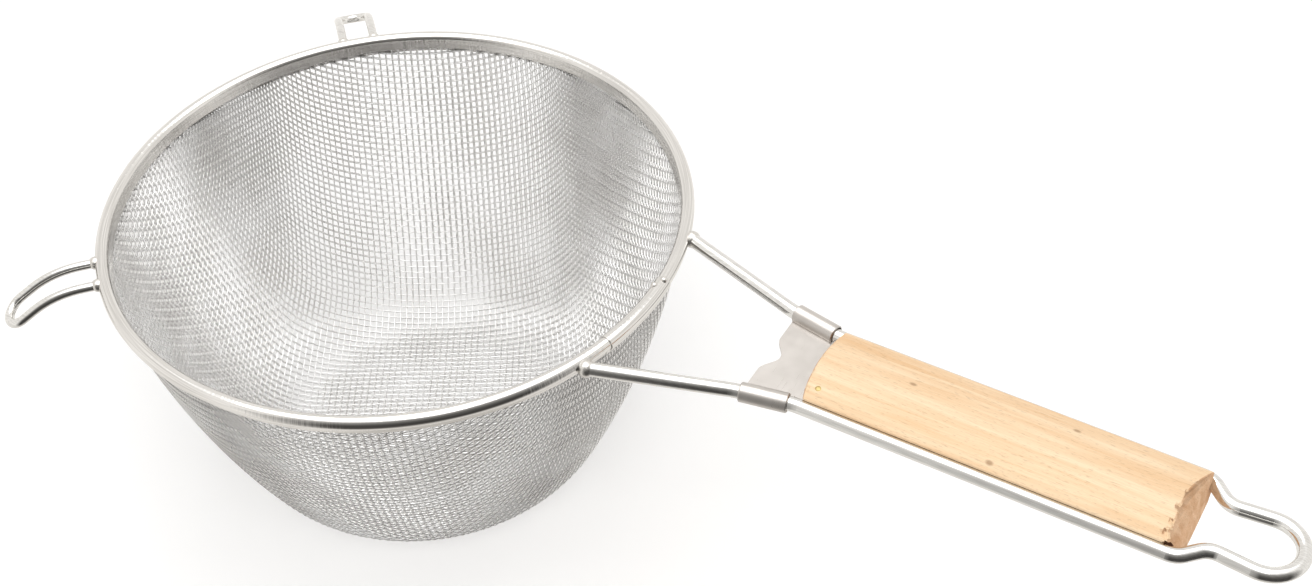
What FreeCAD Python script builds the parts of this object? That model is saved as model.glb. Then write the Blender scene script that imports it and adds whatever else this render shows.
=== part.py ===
"""Wire strainer with a doubled mesh bowl, a rolled rim, a bent wire handle with a wooden grip and
two rest hooks.

Millimetres. The origin is the centre of the bowl's flat bottom, +Z runs up along the bowl's axis and
+X points along the handle.
"""
import FreeCAD, Part
import math
import os

import Sketcher
from FreeCAD import Placement, Rotation, Vector

os.makedirs("parts", exist_ok=True)
doc = FreeCAD.newDocument("strainer")

# ---------------------------------------------------------------- driving dimensions
DIMENSIONS = [
    ("rim_height", 106.0, "rim bead centre above the flat bottom"),
    ("rim_radius", 97.7, "bowl axis to the rim bead centre"),
    ("hoop_wire_radius", 1.8, "hoop wire inside the rim bead"),
    ("band_sheet", 0.5, "sheet of the rolled rim band"),
    ("lap_sheet", 0.35, "extra height of the band where its ends overlap"),
    ("lap_start", -13.0, "handle axis to the start of the overlap, degrees"),
    ("lap_sweep", 19.0, "length of the overlap, degrees"),
    ("lip_slope", 12.0, "slope of both rim lips from the vertical, degrees"),
    ("inner_lip_drop", 2.8, "bead centre to the lower edge of the inner lip"),
    ("outer_lip_drop", 5.2, "bead centre to the lower edge of the outer lip"),
    ("flat_radius", 43.2, "radius of the bowl's flat bottom"),
    ("corner_radius", 28.0, "drawn corner between bottom and wall"),
    ("wall_radius", 335.0, "curvature of the wall's bulge"),
    ("shoulder_radius", 96.62, "bowl axis to the wall where it enters the lips"),
    ("shoulder_height", 101.2, "height where the wall enters the lips"),
    ("mesh_top", 103.6, "height of the cut edge of the mesh"),
    ("cloth_pitch", 0.9, "thickness of one woven layer, wire on wire"),
    ("cloth_solid", 0.35, "steel of one layer as a plain sheet"),
    ("handle_root", 94.6, "bowl axis to the handle's welds along X"),
    ("handle_drop", 0.9, "bead centre down to the handle wire at the welds"),
    ("handle_droop", 1.26, "fall of the handle below the rim plane, degrees"),
    ("handle_wire_radius", 2.3, "handle wire"),
    ("leg_spread", 33.6, "handle axis to each leg at the welds"),
    ("sleeve_start", 44.3, "welds to the first bend, in front of the sleeves"),
    ("sleeve_end", 62.8, "welds to the second bend, behind the sleeves"),
    ("sleeve_spread", 19.55, "handle axis to the wire at the first bend"),
    ("grip_wire_spread", 16.1, "handle axis to the wire beside the grip"),
    ("neck_start", 181.4, "welds to the bend behind the grip"),
    ("neck_end", 188.7, "welds to the bend into the hang loop"),
    ("neck_spread", 9.0, "handle axis to the wire at the neck"),
    ("loop_centre", 202.3, "welds to the centre of the hang loop's end"),
    ("loop_radius", 10.3, "hang loop's end, to the wire's centre"),
    ("front_bend_radius", 30.0, "bend in front of the sleeves"),
    ("rear_bend_radius", 18.0, "bend behind the sleeves"),
    ("neck_bend_radius", 6.5, "both bends at the neck"),
    ("bracket_sheet", 0.8, "sheet of the cross bracket"),
    ("sleeve_clearance", 0.05, "wire to sleeve"),
    ("sleeve_length", 14.9, "length of each rolled sleeve"),
    ("ear_half_gap", 7.5, "handle axis to the ears of the front edge"),
    ("scallop_depth", 3.8, "hollow of the bracket's front edge"),
    ("tongue_half_width", 12.4, "half width of the tongue inside the grip"),
    ("tongue_end", 75.0, "welds to the tongue's end"),
    ("grip_start", 63.4, "welds to the grip's front end"),
    ("grip_length", 119.2, "length of the grip"),
    ("grip_lean", 5.1, "top of the sawn rear end, in front of its foot"),
    ("grip_half_width", 14.9, "half width of the grip"),
    ("grip_crown", 6.6, "wire plane to the top of the grip"),
    ("grip_shoulder", 5.0, "wire plane to the edge of the crown"),
    ("grip_belly", 6.3, "wire plane to the underside of the grip"),
    ("brad_place", 68.2, "welds to the brad"),
    ("brad_offset", 10.8, "handle axis to the brad"),
    ("brad_head_radius", 1.2, "brad head"),
    ("brad_shank_radius", 0.65, "brad shank"),
    ("hook_angle", 46.4, "handle's far side to each rest hook, degrees"),
    ("hook_wire_radius", 1.55, "rest hook wire"),
    ("hook_half_gap", 5.65, "hook's axis to the centre of each leg"),
    ("hook_straight", 105.0, "bowl axis to the start of the hook's bend"),
    ("hook_bend_radius", 30.0, "hook's bend"),
    ("hook_slope", 33.0, "slope of the hook's end, degrees"),
    ("hook_run", 5.0, "straight wire between the bend and the hook's end"),
    ("leg_weld_radius", 2.85, "weld bead round a handle leg"),
    ("hook_weld_radius", 2.2, "weld bead round a hook leg"),
    ("spot_weld_radius", 1.2, "spot weld on the overlap"),
]
sheet = doc.addObject("Spreadsheet::Sheet", "Dims")
for row, (alias, value, note) in enumerate(DIMENSIONS, start=1):
    sheet.set(f"A{row}", note)
    sheet.set(f"B{row}", str(value))
    sheet.setAlias(f"B{row}", alias)
doc.recompute()


def dim(alias):
    return float(sheet.get(alias))


def bind(thing, **sizes):
    """Each size of the object follows an expression on the sheet."""
    for prop, expression in sizes.items():
        thing.setExpression(prop, expression)
    return thing


def boolean(kind, label, base, tools):
    """kind is Part::Cut or Part::Fuse; several tools are fused first."""
    if len(tools) == 1:
        tool = tools[0]
    else:
        tool = doc.addObject("Part::MultiFuse", f"{label}_tools")
        tool.Shapes = tools
    result = doc.addObject(kind, label)
    result.Base = base
    result.Tool = tool
    return result


def fuse(label, pieces):
    result = doc.addObject("Part::MultiFuse", label)
    result.Shapes = pieces
    return result


# ---------------------------------------------------------------- sketches in bodies
def add_body(label):
    return doc.addObject("PartDesign::Body", label)


def add_sketch(body, name, plane_role):
    plane = next(item for item in body.Origin.OriginFeatures if item.Role == plane_role)
    sketch = body.newObject("Sketcher::SketchObject", name)
    sketch.AttachmentSupport = [(plane, "")]
    sketch.MapMode = "FlatFace"
    return sketch


def segment(sketch, start, end):
    return sketch.addGeometry(Part.LineSegment(Vector(*start, 0), Vector(*end, 0)), False)


def arc_about(sketch, centre, radius, first, last):
    """Arc from angle first to angle last, counter-clockwise, in radians."""
    circle = Part.Circle(Vector(*centre, 0), Vector(0, 0, 1), radius)
    return sketch.addGeometry(Part.ArcOfCircle(circle, first, last), False)


def named_size(sketch, kind, where, value, name, expression):
    index = sketch.addConstraint(Sketcher.Constraint(kind, *where, value))
    sketch.renameConstraint(index, name)
    sketch.setExpression(f"Constraints.{name}", expression)


START, END, CENTRE = 1, 2, 3
ORIGIN_POINT = (-1, 1)
V_AXIS = -2

# ---------------------------------------------------------------- mesh bowl, two layers
flat_radius = dim("flat_radius")
corner_radius = dim("corner_radius")
wall_radius = dim("wall_radius")
corner_centre = (flat_radius, corner_radius)


def wall_centre():
    """Centre of the wall's arc, which touches the corner's arc inside and passes the shoulder."""
    shoulder = Vector(dim("shoulder_radius"), dim("shoulder_height"), 0)
    corner = Vector(*corner_centre, 0)
    apart = shoulder.distanceToPoint(corner)
    reach = wall_radius - corner_radius
    along = (reach**2 - wall_radius**2 + apart**2) / (2 * apart)
    across = math.sqrt(reach**2 - along**2)
    toward = (shoulder - corner).normalize()
    sideways = Vector(-toward.y, toward.x, 0)
    centre = corner + toward * along + sideways * across
    return (centre.x, centre.y)


wall_axis = wall_centre()
wall_low = math.atan2(corner_centre[1] - wall_axis[1], corner_centre[0] - wall_axis[0])
wall_high = math.atan2(dim("shoulder_height") - wall_axis[1], dim("shoulder_radius") - wall_axis[0])


def polar(centre, radius, angle):
    return (centre[0] + radius * math.cos(angle), centre[1] + radius * math.sin(angle))


def collar_end(skin):
    """Top of the straight collar above the wall's arc, skin inside the outermost surface."""
    foot = polar(wall_axis, wall_radius - skin, wall_high)
    rise = dim("mesh_top") - foot[1]
    return (foot[0] - rise * math.tan(wall_high), dim("mesh_top"))


def mesh_layer(label, layers_outside):
    """A layer of the bowl as a closed shell, the given number of layers inside the outermost one."""
    body = add_body(label)
    sketch = add_sketch(body, f"{label}_section", "XZ_Plane")
    outside = dim("cloth_pitch") * layers_outside
    inside = outside + dim("cloth_solid")
    bottom, corner, wall, collar = [], [], [], []
    for skin in (outside, inside):
        bottom.append(segment(sketch, (0, skin), (flat_radius, skin)))
        corner.append(arc_about(sketch, corner_centre, corner_radius - skin, -math.pi / 2, wall_low))
        wall.append(arc_about(sketch, wall_axis, wall_radius - skin, wall_low, wall_high))
        collar.append(segment(sketch, polar(wall_axis, wall_radius - skin, wall_high), collar_end(skin)))
    edge = segment(sketch, collar_end(outside), collar_end(inside))
    axis = segment(sketch, (0, inside), (0, outside))
    rules = [("Horizontal", bottom[0]), ("Horizontal", bottom[1]), ("Horizontal", edge)]
    for side in (0, 1):
        rules.append(("Tangent", corner[side], END, wall[side], START))
        rules.append(("Tangent", bottom[side], END, corner[side], START))
        rules.append(("Tangent", wall[side], END, collar[side], START))
        rules.append(("PointOnObject", bottom[side], START, V_AXIS))
    rules.append(("Coincident", collar[0], END, edge, START))
    rules.append(("Coincident", collar[1], END, edge, END))
    rules.append(("Coincident", bottom[1], START, axis, START))
    rules.append(("Coincident", bottom[0], START, axis, END))
    rules.append(("Coincident", corner[0], CENTRE, corner[1], CENTRE))
    rules.append(("Coincident", wall[0], CENTRE, wall[1], CENTRE))
    for rule in rules:
        sketch.addConstraint(Sketcher.Constraint(*rule))
    skin_name = f"Dims.cloth_pitch * {layers_outside}"
    for side, depth in ((0, skin_name), (1, f"{skin_name} + Dims.cloth_solid")):
        skin = (outside, inside)[side]
        named_size(sketch, "Radius", (corner[side],), corner_radius - skin, f"corner_{side}",
                   f"Dims.corner_radius - ({depth})")
    named_size(sketch, "Radius", (wall[0],), wall_radius - outside, "wall",
               f"Dims.wall_radius - ({skin_name})")
    named_size(sketch, "DistanceX", (*ORIGIN_POINT, corner[0], CENTRE), flat_radius,
               "flat_radius", "Dims.flat_radius")
    named_size(sketch, "DistanceY", (*ORIGIN_POINT, corner[0], CENTRE), corner_radius,
               "corner_height", "Dims.corner_radius")
    named_size(sketch, "DistanceY", (*ORIGIN_POINT, edge, START), dim("mesh_top"),
               "mesh_top", "Dims.mesh_top")
    turned = body.newObject("PartDesign::Revolution", f"{label}_shell")
    turned.Profile = sketch
    turned.ReferenceAxis = (sketch, ["V_Axis"])
    turned.Angle = 360
    body.Tip = turned
    return body


outer_mesh_bowl = mesh_layer("outer_mesh_bowl", 0)
inner_mesh_bowl = mesh_layer("inner_mesh_bowl", 1)

# ---------------------------------------------------------------- rim: hoop wire and rolled band
BEAD = "(Dims.hoop_wire_radius + Dims.band_sheet)"
rim_level = Placement(Vector(0, 0, dim("rim_height")), Rotation())


def ring(label, tube):
    """Torus round the bowl's axis at the rim."""
    torus = doc.addObject("Part::Torus", label)
    torus.Placement = rim_level
    return bind(torus, Radius1="Dims.rim_radius", Radius2=tube)


def lip_cone(label, offset, low, high):
    """Solid cone whose face runs parallel to the lips, offset inwards from the bead's centre.

    low and high are expressions for its ends below and above the bead's centre.
    """
    cone = doc.addObject("Part::Cone", label)
    slope = "(Dims.lip_slope * 1 deg)"
    face = f"Dims.rim_radius - {{offset}} / cos{slope} + ({{level}}) * tan{slope}"
    bind(cone, Radius1=face.format(offset=offset, level=low))
    bind(cone, Radius2=face.format(offset=offset, level=high))
    bind(cone, Height=f"({high}) - ({low})")
    cone.setExpression("Placement.Base.z", f"Dims.rim_height + ({low})")
    return cone


lip_foot = "0 - Dims.outer_lip_drop"
clear_foot = "0 - Dims.outer_lip_drop - 1"
bead_tangent = f"{BEAD} * sin(Dims.lip_slope * 1 deg)"
wire_tangent = "Dims.hoop_wire_radius * sin(Dims.lip_slope * 1 deg)"
inner_lip_foot = "0 - Dims.inner_lip_drop"

rim_hoop_wire = ring("rim_hoop_wire", "Dims.hoop_wire_radius")
bead = ring("bead", BEAD)
bead_hollow = ring("bead_hollow", "Dims.hoop_wire_radius")
lap = ring("lap", f"{BEAD} + Dims.lap_sheet")
bind(lap, Angle3="Dims.lap_sweep * 1 deg")
lap.Placement = Placement(Vector(0, 0, dim("rim_height")), Rotation(Vector(0, 0, 1), dim("lap_start")))
lip_outside = lip_cone("lip_outside", "(0 - Dims.band_sheet)", lip_foot, bead_tangent)
lip_inside = lip_cone("lip_inside", BEAD, lip_foot, bead_tangent)
lip_block = boolean("Part::Cut", "lip_block", lip_outside, [lip_inside])
slot_outside = lip_cone("slot_outside", "0", clear_foot, wire_tangent)
slot_inside = lip_cone("slot_inside", "Dims.hoop_wire_radius", clear_foot, wire_tangent)
slot = boolean("Part::Cut", "slot", slot_outside, [slot_inside])
lip_trim = lip_cone("lip_trim", "Dims.hoop_wire_radius / 2", clear_foot, inner_lip_foot)
rim_envelope = fuse("rim_envelope", [bead, lap, lip_block])
rim_band = boolean("Part::Cut", "rim_band", rim_envelope, [bead_hollow, slot, lip_trim])

# ---------------------------------------------------------------- handle wire
handle_frame = Placement(
    Vector(dim("handle_root"), 0, dim("rim_height") - dim("handle_drop")),
    Rotation(Vector(0, 1, 0), dim("handle_droop")),
)


def bent_path(sketch, points, radii):
    """Straight runs through the points, each inner corner rounded to its radius."""
    corners = [Vector(*point, 0) for point in points]
    here = corners[0]
    for before, corner, after, (radius, name) in zip(corners, corners[1:], corners[2:], radii):
        inward = (before - corner).normalize()
        outward = (after - corner).normalize()
        half_turn = (math.pi - inward.getAngle(outward)) / 2
        run = dim(radius) * math.tan(half_turn)
        first, last = corner + inward * run, corner + outward * run
        middle = (inward + outward).normalize()
        centre = corner + middle * (dim(radius) / math.cos(half_turn))
        mid_arc = centre - middle * dim(radius)
        segment(sketch, (here.x, here.y), (first.x, first.y))
        bend = sketch.addGeometry(Part.Arc(first, mid_arc, last), False)
        named_size(sketch, "Radius", (bend,), dim(radius), name, f"Dims.{radius}")
        here = last
    segment(sketch, (here.x, here.y), (corners[-1].x, corners[-1].y))


def tangent_point(centre_x, radius, outside):
    """Where the line from a point outside the circle on the X axis touches it, on the +Y side."""
    away = Vector(*outside, 0) - Vector(centre_x, 0, 0)
    lean = math.acos(radius / away.Length)
    angle = math.atan2(away.y, away.x) - lean
    return polar((centre_x, 0), radius, angle), angle


neck_corner = (dim("neck_end"), dim("neck_spread"))
loop_touch, loop_angle = tangent_point(dim("loop_centre"), dim("loop_radius"), neck_corner)
leg_slope = (dim("leg_spread") - dim("sleeve_spread")) / dim("sleeve_start")
LEG_OVERRUN = 1.2  # the leg starts this far inside the bead, which then trims it
wire_corners = [
    loop_touch,
    neck_corner,
    (dim("neck_start"), dim("grip_wire_spread")),
    (dim("sleeve_end"), dim("grip_wire_spread")),
    (dim("sleeve_start"), dim("sleeve_spread")),
    (-LEG_OVERRUN, dim("leg_spread") + leg_slope * LEG_OVERRUN),
]
wire_bends = [
    ("neck_bend_radius", "neck_out"),
    ("neck_bend_radius", "neck_in"),
    ("rear_bend_radius", "rear_bend"),
    ("front_bend_radius", "front_bend"),
]
handle_body = add_body("handle_wire_untrimmed")
handle_path = add_sketch(handle_body, "handle_path", "XY_Plane")
loop_arc = arc_about(handle_path, (dim("loop_centre"), 0), dim("loop_radius"), 0, loop_angle)
named_size(handle_path, "Radius", (loop_arc,), dim("loop_radius"), "loop", "Dims.loop_radius")
bent_path(handle_path, wire_corners, wire_bends)
wire_section = add_sketch(handle_body, "wire_section", "XZ_Plane")
loop_tip = dim("loop_centre") + dim("loop_radius")
round_section = wire_section.addGeometry(
    Part.Circle(Vector(loop_tip, 0, 0), Vector(0, 0, 1), dim("handle_wire_radius")), False)
named_size(wire_section, "Radius", (round_section,), dim("handle_wire_radius"), "wire",
           "Dims.handle_wire_radius")
half_wire = handle_body.newObject("PartDesign::AdditivePipe", "half_wire")
half_wire.Profile = wire_section
half_wire.Spine = handle_path
whole_wire = handle_body.newObject("PartDesign::Mirrored", "whole_wire")
whole_wire.Originals = [half_wire]
middle_plane = next(item for item in handle_body.Origin.OriginFeatures if item.Role == "XZ_Plane")
whole_wire.MirrorPlane = (middle_plane, [""])
handle_body.Tip = whole_wire
handle_body.Placement = handle_frame
handle_wire = boolean("Part::Cut", "handle_wire", handle_body, [rim_envelope])

# ---------------------------------------------------------------- cross bracket with rolled sleeves
sleeve_run = Vector(dim("sleeve_end") - dim("sleeve_start"),
                    dim("grip_wire_spread") - dim("sleeve_spread"), 0)
sleeve_middle = Vector(dim("sleeve_start") + dim("sleeve_end"),
                       dim("sleeve_spread") + dim("grip_wire_spread"), 0) * 0.5
sleeve_way = Vector(sleeve_run).normalize()
sleeve_radius = "Dims.handle_wire_radius + Dims.sleeve_clearance"


def sleeve_rod(label, side, radius, stretch):
    """Cylinder along the wire between its two bends, stretch times a sleeve's length; side is 1 or -1."""
    rod = doc.addObject("Part::Cylinder", label)
    bind(rod, Radius=radius, Height=f"Dims.sleeve_length * {stretch}")
    start = sleeve_middle - sleeve_way * (dim("sleeve_length") * stretch / 2)
    way = Vector(sleeve_way.x, side * sleeve_way.y, 0)
    place = Placement(Vector(start.x, side * start.y, 0), Rotation(Vector(0, 0, 1), way))
    rod.Placement = handle_frame.multiply(place)
    return rod


def sleeve_edge(x):
    """Handle axis to the wire's centre at x, between the two bends."""
    return dim("sleeve_spread") + (x - dim("sleeve_start")) * sleeve_run.y / sleeve_run.x


plate_body = add_body("bracket_plate")
plate_outline = add_sketch(plate_body, "plate_outline", "XY_Plane")
plate_front = sleeve_middle.x - sleeve_way.x * dim("sleeve_length") / 2
plate_rear = sleeve_middle.x + sleeve_way.x * dim("sleeve_length") / 2
ear = dim("ear_half_gap")
tongue = dim("tongue_half_width")
half_outline = [
    (plate_front, ear),
    (plate_front, sleeve_edge(plate_front)),
    (plate_rear, sleeve_edge(plate_rear)),
    (plate_rear, tongue),
    (dim("tongue_end"), tongue),
]
outline = half_outline + [(x, -y) for x, y in reversed(half_outline)]
for start, end in zip(outline, outline[1:]):
    segment(plate_outline, start, end)
scallop = Part.Arc(Vector(plate_front, -ear, 0), Vector(plate_front + dim("scallop_depth"), 0, 0),
                   Vector(plate_front, ear, 0))
plate_outline.addGeometry(scallop, False)
plate = plate_body.newObject("PartDesign::Pad", "plate")
plate.Profile = plate_outline
plate.setExpression("Length", "Dims.bracket_sheet")
plate_body.Tip = plate
PLATE_DROP = 1.4  # the plate leaves the sleeves a little below the wire's centre
plate_body.Placement = handle_frame.multiply(Placement(Vector(0, 0, -PLATE_DROP), Rotation()))

sleeves = []
bores = []
for side, hand in ((1, "left"), (-1, "right")):
    sleeves.append(sleeve_rod(f"{hand}_sleeve", side, f"{sleeve_radius} + Dims.bracket_sheet", 1))
    bores.append(sleeve_rod(f"{hand}_bore", side, sleeve_radius, 1.2))

# ---------------------------------------------------------------- wooden grip and its brad
grip_body = add_body("grip_blank")
grip_section = add_sketch(grip_body, "grip_section", "YZ_Plane")
half_width = dim("grip_half_width")
crown, shoulder, belly = dim("grip_crown"), dim("grip_shoulder"), dim("grip_belly")
TOP_BEVEL, BOTTOM_BEVEL = 1.9, 2.4
BELLY_RISE = 0.6  # the underside's edge above its middle
right_side = [
    (half_width - TOP_BEVEL, shoulder),
    (half_width, shoulder - TOP_BEVEL),
    (half_width, BOTTOM_BEVEL + BELLY_RISE - belly),
    (half_width - BOTTOM_BEVEL, BELLY_RISE - belly),
]
for sign in (1, -1):
    for start, end in zip(right_side, right_side[1:]):
        segment(grip_section, (sign * start[0], start[1]), (sign * end[0], end[1]))
for height, (reach, level) in ((crown, right_side[0]), (-belly, right_side[-1])):
    face = Part.Arc(Vector(-reach, level, 0), Vector(0, height, 0), Vector(reach, level, 0))
    grip_section.addGeometry(face, False)
grip_pad = grip_body.newObject("PartDesign::Pad", "grip_pad")
grip_pad.Profile = grip_section
grip_pad.setExpression("Length", "Dims.grip_length")
grip_body.Tip = grip_pad
grip_body.Placement = handle_frame.multiply(Placement(Vector(dim("grip_start"), 0, 0), Rotation()))

GROOVE_CLEARANCE = 0.08
CUT_OVERRUN = 2.0  # grooves and slot start this far in front of the wood
grooves = []
for side, hand in ((1, "left"), (-1, "right")):
    groove = doc.addObject("Part::Cylinder", f"{hand}_groove")
    bind(groove, Radius=f"Dims.handle_wire_radius + {GROOVE_CLEARANCE}")
    bind(groove, Height=f"Dims.grip_length + {2 * CUT_OVERRUN}")
    place = Placement(Vector(dim("grip_start") - CUT_OVERRUN, side * dim("grip_wire_spread"), 0),
                      Rotation(Vector(0, 0, 1), Vector(1, 0, 0)))
    groove.Placement = handle_frame.multiply(place)
    grooves.append(groove)

SLOT_CLEARANCE = 0.1
tongue_slot = doc.addObject("Part::Box", "tongue_slot")
bind(tongue_slot, Length=f"Dims.tongue_end - Dims.grip_start + {CUT_OVERRUN + SLOT_CLEARANCE}")
bind(tongue_slot, Width=f"(Dims.tongue_half_width + {SLOT_CLEARANCE}) * 2")
bind(tongue_slot, Height=f"Dims.bracket_sheet + 2 * {SLOT_CLEARANCE}")
slot_corner = Vector(dim("grip_start") - CUT_OVERRUN, -tongue - SLOT_CLEARANCE, -PLATE_DROP - SLOT_CLEARANCE)
tongue_slot.Placement = handle_frame.multiply(Placement(slot_corner, Rotation()))

rear_saw = bind(doc.addObject("Part::Box", "rear_saw"), Length="Dims.grip_lean * 3")
bind(rear_saw, Width="Dims.grip_half_width * 3", Height="(Dims.grip_crown + Dims.grip_belly) * 2")
saw_lean = math.degrees(math.atan2(dim("grip_lean"), crown + belly))
saw_frame = Placement(Vector(dim("grip_start") + dim("grip_length"), 0, -belly),
                      Rotation(Vector(0, 1, 0), -saw_lean))
saw_corner = Placement(Vector(0, -1.5 * half_width, -CUT_OVERRUN), Rotation())
rear_saw.Placement = handle_frame.multiply(saw_frame).multiply(saw_corner)

BRAD_LENGTH, HEAD_SUNK, HEAD_PROUD = 10.0, 0.6, 0.5
CROWN_FALL = 1.45  # the crown's middle to its falling side, where the head is driven flush
brad_seat = Vector(dim("brad_place"), -dim("brad_offset"), crown - CROWN_FALL)
brad_shank = bind(doc.addObject("Part::Cylinder", "brad_shank"), Radius="Dims.brad_shank_radius")
brad_shank.Height = BRAD_LENGTH
brad_shank.Placement = handle_frame.multiply(
    Placement(brad_seat - Vector(0, 0, BRAD_LENGTH), Rotation()))
brad_head = bind(doc.addObject("Part::Cylinder", "brad_head"), Radius="Dims.brad_head_radius")
brad_head.Height = HEAD_SUNK + HEAD_PROUD
brad_head.Placement = handle_frame.multiply(
    Placement(brad_seat - Vector(0, 0, HEAD_SUNK), Rotation()))
grip_brad = fuse("grip_brad", [brad_shank, brad_head])

bracket_blank = fuse("bracket_blank", [plate_body] + sleeves)
cross_bracket = boolean("Part::Cut", "cross_bracket", bracket_blank, bores + [brad_shank])
wooden_grip = boolean("Part::Cut", "wooden_grip", grip_body,
                      grooves + [tongue_slot, rear_saw, grip_brad, handle_body])

# ---------------------------------------------------------------- rest hooks
hook_slope = dim("hook_slope")
HOOK_OVERRUN = 1.0  # the legs start this far inside the bead, which then trims them


def hook_piece(kind, label, place, spin, **sizes):
    piece = bind(doc.addObject(kind, label), **sizes)
    piece.Placement = spin.multiply(place)
    return piece


def rest_hook(label, azimuth):
    """U of wire in the frame where +X runs outwards: two legs, their bends and the round end."""
    spin = Placement(Vector(0, 0, dim("rim_height")), Rotation(Vector(0, 0, 1), azimuth))
    start = dim("rim_radius") + dim("hoop_wire_radius") + dim("band_sheet") - HOOK_OVERRUN
    bend_end = Vector(
        dim("hook_straight") + dim("hook_bend_radius") * math.sin(math.radians(hook_slope)), 0,
        dim("hook_bend_radius") * (math.cos(math.radians(hook_slope)) - 1))
    downhill = Rotation(Vector(0, 1, 0), hook_slope)
    way = downhill.multVec(Vector(1, 0, 0))
    pieces = []
    for side, leg in ((1, "a"), (-1, "b")):
        shift = Vector(0, side * dim("hook_half_gap"), 0)
        along_x = Rotation(Vector(0, 1, 0), 90)
        pieces.append(hook_piece(
            "Part::Cylinder", f"{label}_leg_{leg}", Placement(Vector(start, 0, 0) + shift, along_x), spin,
            Radius="Dims.hook_wire_radius", Height=f"Dims.hook_straight - {start}"))
        bend_centre = Vector(dim("hook_straight"), 0, -dim("hook_bend_radius")) + shift
        # the tube sweeps about its own Z from its own X: from straight up towards the outside
        sweep_frame = Rotation(Vector(0, 0, 1), Vector(1, 0, 0), Vector(0, 1, 0), "XYZ")
        pieces.append(hook_piece(
            "Part::Torus", f"{label}_bend_{leg}", Placement(bend_centre, sweep_frame), spin,
            Radius1="Dims.hook_bend_radius", Radius2="Dims.hook_wire_radius",
            Angle3="Dims.hook_slope * 1 deg"))
        pieces.append(hook_piece(
            "Part::Cylinder", f"{label}_run_{leg}",
            Placement(bend_end + shift, Rotation(Vector(0, 1, 0), 90 + hook_slope)), spin,
            Radius="Dims.hook_wire_radius", Height="Dims.hook_run"))
    end_centre = bend_end + way * dim("hook_run")
    end_frame = Rotation(Vector(0, 1, 0), way, downhill.multVec(Vector(0, 0, -1)), "XYZ")
    pieces.append(hook_piece(
        "Part::Torus", f"{label}_end", Placement(end_centre, end_frame), spin,
        Radius1="Dims.hook_half_gap", Radius2="Dims.hook_wire_radius", Angle3="180 deg"))
    whole = fuse(f"{label}_untrimmed", pieces)
    return whole, boolean("Part::Cut", label, whole, [rim_envelope])


hook_azimuths = {"rest_hook_left": 180 - dim("hook_angle"), "rest_hook_right": 180 + dim("hook_angle")}
hook_wholes = {}
rest_hooks = {}
for label, azimuth in hook_azimuths.items():
    hook_wholes[label], rest_hooks[label] = rest_hook(label, azimuth)

# ---------------------------------------------------------------- welds
def weld_ball(label, centre, radius, pole):
    """Ball whose poles lie along the given direction, inside what it is welded to."""
    ball = bind(doc.addObject("Part::Sphere", label), Radius=radius)
    ball.Placement = Placement(centre, Rotation(Vector(0, 0, 1), pole))
    return ball


WELD_OUTSET = 0.2  # a leg's weld is centred this far outside the handle's root
HOOK_WELD_INSET = 0.3  # a hook's weld is centred this far inside the bead's surface


leg_balls = []
for side, hand in ((1, "left"), (-1, "right")):
    foot = handle_frame.multVec(
        Vector(WELD_OUTSET, side * (dim("leg_spread") - leg_slope * WELD_OUTSET), 0))
    pole = Vector(1, -side * leg_slope, 0)
    leg_balls.append(weld_ball(f"{hand}_leg_ball", foot, "Dims.leg_weld_radius", pole))
leg_welds = boolean("Part::Cut", "leg_welds", fuse("leg_balls", leg_balls), [rim_envelope, handle_body])

hook_balls = []
outer_radius = dim("rim_radius") + dim("hoop_wire_radius") + dim("band_sheet")
for label, azimuth in hook_azimuths.items():
    turn = Rotation(Vector(0, 0, 1), azimuth)
    for side in (1, -1):
        foot = turn.multVec(Vector(outer_radius - HOOK_WELD_INSET, side * dim("hook_half_gap"), 0))
        foot.z = dim("rim_height")
        pole = turn.multVec(Vector(1, 0, 0))
        hook_balls.append(weld_ball(f"{label}_ball", foot, "Dims.hook_weld_radius", pole))
hook_welds = boolean("Part::Cut", "hook_welds", fuse("hook_balls", hook_balls),
                     [rim_envelope] + list(hook_wholes.values()))

SPOT_RISE = 0.35  # centre of each spot weld below the lapped band's top
spot_balls = []
for degrees_back, lean in ((0.6, 20.0), (2.6, -25.0)):
    azimuth = math.radians(dim("lap_start") + dim("lap_sweep") - degrees_back)
    tube = dim("hoop_wire_radius") + dim("band_sheet") + dim("lap_sheet") - SPOT_RISE
    reach = dim("rim_radius") + tube * math.sin(math.radians(lean))
    level = dim("rim_height") + tube * math.cos(math.radians(lean))
    centre = Vector(reach * math.cos(azimuth), reach * math.sin(azimuth), level)
    pole = Vector(math.cos(azimuth) * math.sin(math.radians(lean)),
                  math.sin(azimuth) * math.sin(math.radians(lean)), math.cos(math.radians(lean)))
    spot_balls.append(weld_ball("spot_ball", centre, "Dims.spot_weld_radius", pole))
rim_spot_welds = boolean("Part::Cut", "rim_spot_welds", fuse("spot_balls", spot_balls), [rim_envelope])

# ---------------------------------------------------------------- check and write
PIECES = {
    "outer_mesh_bowl": (outer_mesh_bowl, 1),
    "inner_mesh_bowl": (inner_mesh_bowl, 1),
    "rim_hoop_wire": (rim_hoop_wire, 1),
    "rim_band": (rim_band, 1),
    "rim_spot_welds": (rim_spot_welds, 2),
    "handle_wire": (handle_wire, 1),
    "leg_welds": (leg_welds, 2),
    "cross_bracket": (cross_bracket, 1),
    "wooden_grip": (wooden_grip, 1),
    "grip_brad": (grip_brad, 1),
    "rest_hook_left": (rest_hooks["rest_hook_left"], 1),
    "rest_hook_right": (rest_hooks["rest_hook_right"], 1),
    "hook_welds": (hook_welds, 4),
}
for label, (piece, _) in PIECES.items():
    piece.Label = label
doc.recompute()

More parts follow.
